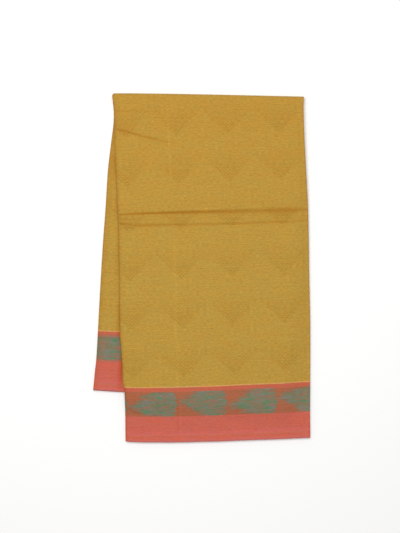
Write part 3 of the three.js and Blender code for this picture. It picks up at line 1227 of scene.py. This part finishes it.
@dataclass(frozen=True)
class BorderCotton(HandloomCotton):
    """The border: coral cotton with a band of ikat, whose yarns are tied and dyed before weaving.

    The dye creeps under the ties and the yarns slide on the loom, so the drops have feathered,
    ragged edges along the yarns and streaks of green, grey and rust inside.
    """

    grain: Streaks = Streaks(7.0, 2.0, 0.90, 1.10)
    stripe: str = "#BE6046"
    rust: str = "#A96041"
    rust_haze: str = "#9C6444"
    olive: str = "#896A53"
    grey_green: str = "#7A765C"
    haze_dose: float = 0.35
    olive_dose: float = 0.7
    hem_yarns: tuple[tuple[float, str], ...] = (
        (0.0, "#BC625A"),
        (3.0, "#C9675C"),
        (6.0, "#CB624F"),
        (9.0, "#CB614D"),
        (10.4, "#C26551"),
        (12.6, "#C86856"),
        (15.0, "#CD6359"),
        (19.0, "#C76253"),
        (23.0, "#C5614F"),
    )
    band_start: float = 5.6
    band_end: float = 50.2
    band_blurs: tuple[float, float] = (3.6, 0.8)
    stripe_blur: float = 1.0
    drop_pitch: float = 92.1
    drop_tip: float = 6.0
    drop_length: float = 90.0
    tip_shift: float = 6.0
    shift_share: float = 0.55
    drop_overlap: float = 3.5
    drop_form: tuple[tuple[float, float], ...] = (
        (0.0, 0.02),
        (0.09, 0.15),
        (0.23, 0.35),
        (0.33, 0.57),
        (0.44, 0.80),
        (0.60, 0.98),
        (0.78, 1.0),
        (0.89, 0.90),
        (0.96, 0.66),
        (0.99, 0.36),
        (1.0, 0.0),
    )
    feather: float = 8.6
    yarn_slide: Streaks = Streaks(70.0, 5.6, -3.6, 3.6)
    ragged_edge: Streaks = Streaks(36.0, 5.0, -4.4, 4.4)
    uneven_dye: Streaks = Streaks(40.0, 4.0, -0.20, 0.24)
    ikat_patches: tuple[tuple[Streaks, str], ...] = (
        (Streaks(23.0, 6.2, -1.66, 1.62), "#5A7F5D"),
        (Streaks(26.0, 6.0, -1.28, 1.2), "#7A7B6E"),
        (Streaks(17.0, 4.8, -1.14, 1.08), "#9A6956"),
    )

    def make(self, lie: Lie) -> bpy.types.Material:
        """Builds the material from the cloth's coordinates.

        Args:
            lie: How the saree lies, for the places of its borders and hems.

        Returns:
            The material.
        """
        # Tie-dyed yarn is as matte as the field's, and its colours blur along the yarns.
        material = bpy.data.materials.new("coral_ikat_cotton")
        material.use_nodes = True
        tree = material.node_tree
        tree.nodes.clear()
        cloth, u, v = self.cloth(tree)
        pairs = (v, lie.front_border), (lie.back_border, v), (lie.front_hem, v), (v, lie.back_hem)
        front, back, front_hem, back_hem = (
            add_node(tree, MATH, pair, operation="SUBTRACT") for pair in pairs
        )
        down = add_node(tree, MATH, (front, back), operation="MAXIMUM")
        to_hem = add_node(tree, MATH, (front_hem, back_hem), operation="MINIMUM")
        width = self.hem_yarns[-1][0]
        share = add_node(tree, MATH, (to_hem, width), operation="DIVIDE")
        stops = [(at / width, yarn) for at, yarn in self.hem_yarns]
        ground = add_node(tree, RAMP, (share,), stops=stops)
        stripe_end = self.band_start + self.stripe_blur, self.band_start - self.stripe_blur
        top = add_node(tree, RANGE, (down, *stripe_end, 0.0, 1.0))
        striped = add_node(tree, MIX, (top, ground, linear_colour(self.stripe)), data_type="RGBA")
        ikat = self.ikat(tree, cloth, self.drops(tree, cloth, u, down))
        colour = add_node(tree, MIX, (self.band(tree, v, down), striped, ikat), data_type="RGBA")
        self.finish(tree, lie, cloth, u, colour)
        return material

    def band(self, tree: Tree, v: Socket, down: Node) -> Node:
        """Adds the ikat band's place. Its edges are softer on the back border than on the front.

        Args:
            tree: The material's nodes.
            v: Distance from the doubled fold.
            down: Distance from the field.

        Returns:
            1 in the band and 0 beside it.
        """
        blur = add_node(tree, RANGE, (v, -1.0, 1.0, *self.band_blurs))
        edges = []
        for pair in ((down, self.band_start), (self.band_end, down)):
            inside = add_node(tree, MATH, pair, operation="SUBTRACT")
            share = add_node(tree, MATH, (inside, blur), operation="DIVIDE")
            edges.append(add_node(tree, RANGE, (share, -1.0, 1.0, 0.0, 1.0)))
        return add_node(tree, MATH, tuple(edges), operation="MULTIPLY")

    def drops(self, tree: Tree, cloth: Node, u: Socket, down: Node) -> Node:
        """Adds the row of drops, whose tips lie by turns low and high in the band.

        Args:
            tree: The material's nodes.
            cloth: The cloth's coordinates.
            u: Distance along the unfolded cloth.
            down: Distance from the field.

        Returns:
            How fully the yarn is dyed, from 0 outside a drop to 1 inside.
        """
        slide = self.patches(tree, cloth, self.yarn_slide)
        slid = add_node(tree, MATH, (u, slide), operation="ADD")
        from_tip = add_node(tree, MATH, (slid, self.drop_tip), operation="SUBTRACT")
        run = add_node(tree, MATH, (from_tip, self.drop_pitch, 0.0), operation="WRAP")
        share = add_node(tree, MATH, (run, self.drop_length), operation="DIVIDE")
        form = add_node(tree, RAMP, (share,), stops=self.drop_form)
        pair = add_node(tree, MATH, (from_tip, 2 * self.drop_pitch, 0.0), operation="WRAP")
        high = add_node(tree, MATH, (pair, self.drop_pitch), operation="GREATER_THAN")
        shift = add_node(tree, RANGE, (high, 0.0, 1.0, self.tip_shift, -self.tip_shift))
        tapered = add_node(tree, RANGE, (share, 0.0, self.shift_share, 1.0, 0.0))
        middle = (self.band_start + self.band_end) / 2
        line = add_node(tree, MATH, (shift, tapered, middle), operation="MULTIPLY_ADD")
        off = add_node(tree, MATH, (down, line), operation="SUBTRACT")
        far = add_node(tree, MATH, (off,), operation="ABSOLUTE")
        half = (self.band_end - self.band_start) / 2 + self.drop_overlap
        inside = add_node(tree, MATH, (form, half), operation="MULTIPLY")
        depth = add_node(tree, MATH, (inside, far), operation="SUBTRACT")
        ragged = self.patches(tree, cloth, self.ragged_edge)
        edge = add_node(tree, MATH, (depth, ragged), operation="ADD")
        span = (-self.feather, self.feather, 0.0, 1.0)
        return add_node(tree, RANGE, (edge, *span), interpolation_type="SMOOTHSTEP")

    def ikat(self, tree: Tree, cloth: Node, dyed: Node) -> Node:
        """Adds the ikat's colours: green and grey drops with coral flecks, on hazy rust.

        Args:
            tree: The material's nodes.
            cloth: The cloth's coordinates.
            dyed: How fully the yarn is dyed.

        Returns:
            The colour.
        """
        uneven = self.patches(tree, cloth, self.uneven_dye)
        dose = add_node(tree, MATH, (dyed, uneven), operation="ADD", use_clamp=True)
        weak = (0.0, self.rust), (self.haze_dose, self.rust_haze)
        strong = (self.olive_dose, self.olive), (1.0, self.grey_green)
        colour = add_node(tree, RAMP, (dose,), stops=(*weak, *strong))
        for streaks, yarn in self.ikat_patches:
            patch = self.patches(tree, cloth, streaks)
            kept = add_node(tree, MATH, (patch, dyed), operation="MULTIPLY", use_clamp=True)
            colour = add_node(tree, MIX, (kept, colour, linear_colour(yarn)), data_type="RGBA")
        return colour


@dataclass(frozen=True)
class Saree:
    """The saree: four stretches of the wrapping cloth, and the folds inside it."""

    lie: Lie
    stack: FoldedStack
    wrap_pitches: tuple[float, ...] = (3.4, 9.0, 9.0)
    layer_pitch: float = 45.0
    wrap_turn_rows: int = 17
    layer_turn_rows: int = 13
    front_border_rows: tuple[RowRun, ...] = (
        RowRun(622.0, 3.5),
        RowRun(580.0, 1.2),
        RowRun(556.0, 3.5),
    )
    front_field_rows: tuple[RowRun, ...] = (
        RowRun(525.0, 4.0),
        RowRun(244.0, 1.2),
        RowRun(220.0, 0.75),
        RowRun(205.0, 4.0),
        RowRun(92.0, 1.3),
        RowRun(64.0, 4.0),
        RowRun(39.0, 1.0),
        RowRun(33.0, 3.5),
    )
    back_field_pitch: float = 3.6
    back_border_pitch: float = 4.0
    layer_front_rows: tuple[RowRun, ...] = (
        RowRun(622.0, 10.0),
        RowRun(592.0, 6.0),
        RowRun(525.0, 18.0),
        RowRun(250.0, 10.0),
        RowRun(200.0, 18.0),
    )
    layer_back_pitches: tuple[float, float] = (18.0, 15.0)

    def rows(self, stretch: Stretch) -> np.ndarray:
        """The places along the cloth at which a stretch of the wrap has its rows.

        Args:
            stretch: The stretch.

        Returns:
            The places, falling.
        """
        lie = self.lie
        if stretch is Stretch.FRONT_BORDER:
            return run_places(self.front_border_rows, lie.front_border)
        if stretch is Stretch.BACK_FIELD:
            return spread_places(-lie.fold_quarter, lie.back_border, self.back_field_pitch)
        if stretch is Stretch.BACK_BORDER:
            return spread_places(lie.back_border, lie.back_hem, self.back_border_pitch)
        flat = run_places(self.front_field_rows, lie.fold_quarter)
        turn = np.linspace(lie.fold_quarter, -lie.fold_quarter, self.wrap_turn_rows)
        return join_places(flat, turn)

    def wrap(self, stretch: Stretch, material: bpy.types.Material) -> Piece:
        """Builds one stretch of the cloth that wraps the strip.

        Args:
            stretch: Which stretch.
            material: Its finish.

        Returns:
            The finished piece.
        """
        line = self.stack.section(dict(enumerate(self.wrap_pitches)))
        rows = self.rows(stretch)
        piece = ClothSheet(f"{stretch.value}_cloth", self.stack, line, rows).build()
        piece.data.materials.append(material)
        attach(piece, "root")
        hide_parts(stretch.value)
        return piece

    def layers(self, field: bpy.types.Material, border: bpy.types.Material) -> Piece:
        """Builds the fourteen panels inside the wrap, as one line of cloth.

        Args:
            field: The finish of the field.
            border: The finish of both borders.

        Returns:
            The finished piece.
        """
        lie, stack = self.lie, self.stack
        line = stack.section({panel: self.layer_pitch for panel in range(2, stack.panels)})
        field_pitch, border_pitch = self.layer_back_pitches
        rows = join_places(
            run_places(self.layer_front_rows, lie.fold_quarter),
            np.linspace(lie.fold_quarter, -lie.fold_quarter, self.layer_turn_rows),
            spread_places(-lie.fold_quarter, lie.back_border, field_pitch),
            spread_places(lie.back_border, lie.back_hem, border_pitch),
        )
        piece = ClothSheet("folded_layers", stack, line, rows).build()
        mesh = piece.data
        mesh.materials.append(field)
        mesh.materials.append(border)
        places = np.zeros(len(mesh.loops) * 2)
        mesh.uv_layers[CLOTH_MAP].data.foreach_get("uv", places)
        along = places[1::2] / MM
        for polygon in mesh.polygons:
            middle = along[polygon.loop_start : polygon.loop_start + polygon.loop_total].mean()
            polygon.material_index = int(not lie.back_border < middle < lie.front_border)
        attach(piece, "root")
        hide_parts("hidden_layers")
        return piece

    def build(self) -> list[Piece]:
        """Builds and dresses the whole saree.

        Returns:
            Its pieces.
        """
        field, border = FieldCotton().make(self.lie), BorderCotton().make(self.lie)
        pieces = [self.layers(field, border)]
        for stretch in Stretch:
            pieces.append(self.wrap(stretch, border if stretch.is_border else field))
        return pieces


@dataclass(frozen=True)
class Studio:
    """A plain pale floor, soft light from above and all round, and the camera straight above."""

    floor_size: float = 9.0
    floor_drop: float = 0.0002
    floor_colour: str = "#FCFCFB"
    floor_roughness: float = 0.95
    floor_specular: float = 0.1
    ambient: float = 0.36
    lamp_place: tuple[float, float, float] = (-0.2, 0.45, 2.4)
    lamp_size: float = 1.8
    lamp_energy: float = 49.5
    camera_height: float = 2.6
    sensor_width: float = 36.0
    view_length: float = 0.9594
    centre: tuple[float, float] = (-0.00306, 0.00252)

    def floor(self) -> None:
        """Lays the floor under the saree."""
        bpy.ops.object.select_all(action="DESELECT")
        bpy.ops.mesh.primitive_plane_add(size=self.floor_size, location=(0, 0, -self.floor_drop))
        floor = bpy.context.active_object
        floor.name = "studio_floor"
        # Uncoated paper is matte all over, so it shows no reflection beside the cloth.
        material = bpy.data.materials.new("uncoated_paper")
        material.use_nodes = True
        shader = material.node_tree.nodes["Principled BSDF"]
        shader.inputs["Base Color"].default_value = linear_colour(self.floor_colour)
        shader.inputs["Roughness"].default_value = self.floor_roughness
        shader.inputs["Specular IOR Level"].default_value = self.floor_specular
        floor.data.materials.append(material)

    def light(self) -> None:
        """Sets the soft light: an even sky and one large lamp above, a little to the left."""
        world = bpy.data.worlds.new("studio")
        bpy.context.scene.world = world
        world.use_nodes = True
        sky = world.node_tree.nodes["Background"]
        sky.inputs["Color"].default_value = (1.0, 1.0, 1.0, 1.0)
        sky.inputs["Strength"].default_value = self.ambient
        bpy.ops.object.select_all(action="DESELECT")
        bpy.ops.object.light_add(type="AREA", location=self.lamp_place)
        lamp = bpy.context.active_object
        lamp.name = "soft_lamp"
        lamp.data.shape = "DISK"
        lamp.data.size = self.lamp_size
        lamp.data.energy = self.lamp_energy
        lamp.rotation_euler = (-lamp.location).to_track_quat("-Z", "Y").to_euler()

    def camera(self) -> None:
        """Sets the camera straight above, with the photograph's framing."""
        data = bpy.data.cameras.new("camera")
        camera = bpy.data.objects.new("camera", data)
        bpy.context.scene.collection.objects.link(camera)
        camera.location = (*self.centre, self.camera_height)
        data.sensor_width = self.sensor_width
        data.lens = data.sensor_width * self.camera_height / self.view_length
        bpy.context.scene.camera = camera

    def build(self) -> None:
        """Sets up the whole studio."""
        bpy.context.scene.view_settings.view_transform = "Standard"
        self.floor()
        self.light()
        self.camera()


def main() -> None:
    """Builds the studio and the saree, and reports each piece."""
    logging.basicConfig(level=logging.INFO, format="%(message)s")
    lie = Lie()
    Studio().build()
    for piece in Saree(lie, FoldedStack(lie)).build():
        LOG.info("%s: %d faces", piece.name, len(piece.data.polygons))


if __name__ == "__main__":
    main()
